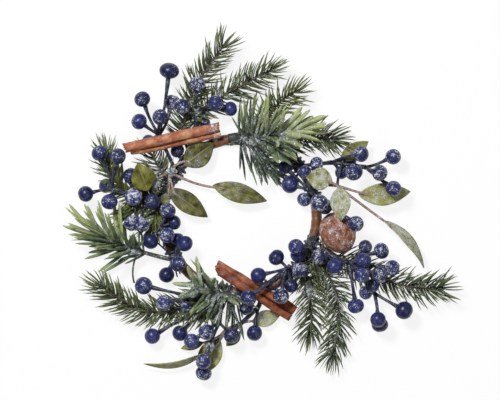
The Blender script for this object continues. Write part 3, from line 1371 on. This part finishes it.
def grow_fir(bm, path, sprig, rng, shares, lengths, leans, spacing, widths, tones):
    """Straps between two shares of a twig. Each pair of sizes runs from the first to the last strap."""
    first, last = shares
    count = max(1, int(path_length(path) * (last - first) / spacing))
    for index in range(count + 1):
        progress = index / count
        root, ahead = spot_on(path, between(shares, progress))
        outward = out_of_twig(ahead, index * GOLDEN_TURN + rng.gauss(0, 0.4))
        swept = max(0.0, sprig["sweep"] * outward.dot(ahead.cross(UP)))
        lean = math.radians(between(leans, progress) + rng.gauss(0, 11) - swept)
        along = ahead * math.cos(lean) + outward * math.sin(lean)
        flat = along.cross(UP).normalized()
        flat.rotate(Matrix.Rotation(rng.gauss(0, 0.5), 3, along))
        length = between(lengths, progress) * MM * rng.uniform(0.7, 1.05)
        width = between(widths, progress) * MM * rng.uniform(0.85, 1.15)
        tone = between(tones, progress) + rng.uniform(-0.2, 0.2) + PALER_UPWARDS * along.y
        snow = min(1.0, max(0.0, rng.gauss(sprig["frost"], 0.15)))
        set_needle(bm, strap_needle, root, along, flat, length, width, snow=snow, tone=tone)


for name, sprig in FIR_SPRIGS.items():
    rng = random.Random("fir " + name)
    needles, twigs = bmesh.new(), bmesh.new()
    main, *side_twigs = twig_paths(sprig)
    grow_tube(twigs, main, tapered(FIR_TWIG_RADII))
    grow_fir(needles, main, sprig, rng, **sprig["old"])
    grow_fir(needles, main, sprig, rng, **sprig["new"])
    for share, middle, tip in sprig["bare_stems"]:
        stem = bow(spot_on(main, share)[0], at(*middle), at(*tip), len(BARE_STEM_RADII))
        grow_tube(twigs, stem, in_metres(BARE_STEM_RADII), sides=6)
    for path in side_twigs:
        grow_tube(twigs, path, tapered(SIDE_TWIG_RADII))
        grow_fir(needles, path, sprig, rng, **SIDE_STRAPS)
    piece_name = "fir_needles_" + name
    add_piece(piece_name, needles, fir_plastic, "fir_needle", "fir_sprig_" + name, mend_normals=False)
    add_piece("fir_twig_" + name, twigs, green_twig, "fir_needle", "fir_sprig_" + name)

# %% [markdown]
# Where glue gathered at a fork or on a twig, the snow stuck in thick lumps. A lump is an icosphere,
# because its faces are even all over: noise makes it craggy, and each lump is stretched to its own
# half lengths along X, Y and Z.

# %% Finish of the lumps: snow grains in glue
# Grey hollows between white grains, all of it dull.
lump_tones = [(0.38, "#4d564f"), (0.62, "#a6adab")]
clumped_snow = noise_finish("snow_grains_in_glue", 1.6, 3.0, lump_tones, relief=0.5, roughness=0.7, snow=0.68)

# %% Lumps of snow
SNOW_LUMPS = {
    "fir_sprig_top": ("fir_needle", [((77, -1.2, 8.4), (5.2, 2.4, 2.2))]),
    "fir_sprig_left": ("fir_needle", [((199.2, 23.5, 7.4), (5.0, 2.3, 1.9))]),
    "leaf_stem_left": ("leaf_wire", [
        ((157.6, 9.5, 14.2), (3.4, 4.4, 2.4)),
        ((147.4, 2.8, 7.6), (3.8, 2.8, 2.2)),
    ]),
    "pine_sprig_bottom_short": ("pine_needle", [((313.7, 14.4, 3.0), (2.6, 5.6, 2.0))]),
    "berry_stem_bottom": ("berry_wire", [((257.1, 37.2, 11.2), (2.4, 3.8, 2.2))]),
    "berry_stem_top": ("berry_wire", [((113, 23.5, 9.6), (3.4, 2.6, 2.2))]),
}
CRAGS = 0.55
FINE_CRAGS = 0.3
for name, (slot, lumps) in SNOW_LUMPS.items():
    bm = bmesh.new()
    for place, halves in lumps:
        spot = at(*place)
        for vert in bmesh.ops.create_icosphere(bm, subdivisions=4, radius=1.0)["verts"]:
            crags = CRAGS * noise.noise(vert.co * 1.7 + spot * 900)
            fine_crags = FINE_CRAGS * noise.noise(vert.co * 4.5)
            stretched = Vector([half * share for half, share in zip(halves, vert.co)])
            vert.co = spot + stretched * (1 + crags + fine_crags) * MM
    add_piece("snow_lumps_" + name, bm, clumped_snow, slot, name)

# %% [markdown]
# The ring is shown from straight above on white. The floor is a large white sheet: the camera sees most
# of it as plain white, and the rest is lit as usual, so that a soft shadow stays under the ring.

# %% Floor
FLOOR_HALF = 6.0
PLAIN_SHARE = 0.86
bm = bmesh.new()
bmesh.ops.create_grid(bm, x_segments=1, y_segments=1, size=FLOOR_HALF)
mesh = mesh_of("floor", bm)
floor = show("floor", mesh)
# Even matt paper, with no grain to draw the eye from the ring.
white_sheet, tree = new_finish("white_paper_sheet")
rays = node(tree, "LightPath").outputs
direct = node(tree, "Math", {0: rays["Is Camera Ray"], 1: rays["Is Glossy Ray"]}, operation="MAXIMUM")
seen = node(tree, "Math", {0: direct, 1: rays["Is Transmission Ray"]}, operation="MAXIMUM")
share = node(tree, "Math", {0: seen, 1: PLAIN_SHARE}, operation="MULTIPLY")
lit = node(tree, "BsdfDiffuse", {"Color": colour("#fafafa")})
plain = node(tree, "Emission", {"Color": colour("#ffffff"), "Strength": 1.0})
sheet = node(tree, "MixShader", {0: share, 1: lit, 2: plain})
node(tree, "OutputMaterial", {"Surface": sheet})
mesh.materials.append(white_sheet)
print("floor of", 2 * FLOOR_HALF, "metres")

# %% [markdown]
# Studio light for a catalogue picture: one large soft lamp above and a little to the upper left, one
# weaker lamp opposite, and a pale room all round. Together they light a white sheet to about white,
# so that colours come out much as they are written.


# %% Lamps and room
def add_lamp(name, spot, size, power):
    """Round soft lamp that faces the middle of the ring."""
    lamp = bpy.data.lights.new(name, "AREA")
    lamp.shape = "DISK"
    lamp.size = size
    lamp.energy = power
    holder = show(name, lamp)
    holder.location = spot
    holder.rotation_euler = (-Vector(spot)).to_track_quat("-Z", "Y").to_euler()
    print(name, power, "W")


add_lamp("key_lamp", spot=(-0.4, 0.55, 1.2), size=0.28, power=17.0)
add_lamp("fill_lamp", spot=(0.7, -0.5, 1.0), size=0.9, power=3.0)
world = bpy.data.worlds.new("pale_room")
bpy.context.scene.world = world
world.use_nodes = True
tree = world.node_tree
tree.nodes.clear()
rays = node(tree, "LightPath").outputs
room = node(tree, "Background", {"Color": colour("#f4f6fa"), "Strength": 0.16})
behind = node(tree, "Background", {"Color": colour("#ffffff"), "Strength": 1.0})
both = node(tree, "MixShader", {0: rays["Is Camera Ray"], 1: room, 2: behind})
node(tree, "OutputWorld", {"Surface": both})

# %% [markdown]
# The camera hangs straight above the ring, far enough away that tall berries do not lean outwards. The
# picture is 500 by 400 pixels at 0.65 mm to the pixel.

# %% Camera
PIXEL_MM = 0.65
PICTURE_WIDTH = 500
SENSOR_WIDTH = 36.0
DISTANCE = 2.5
# Middle of the picture, and the height at which a pixel has its size
AIM = Vector((6.5, 10.1, 10.0)) * MM
camera = bpy.data.cameras.new("camera")
camera.sensor_width = SENSOR_WIDTH
camera.lens = SENSOR_WIDTH * DISTANCE / (PICTURE_WIDTH * PIXEL_MM * MM)
camera.clip_end = 20.0
watcher = show("camera", camera)
watcher.location = AIM + UP * DISTANCE
bpy.context.scene.camera = watcher
bpy.context.scene.view_settings.view_transform = "Standard"
print("lens", round(camera.lens), "mm")
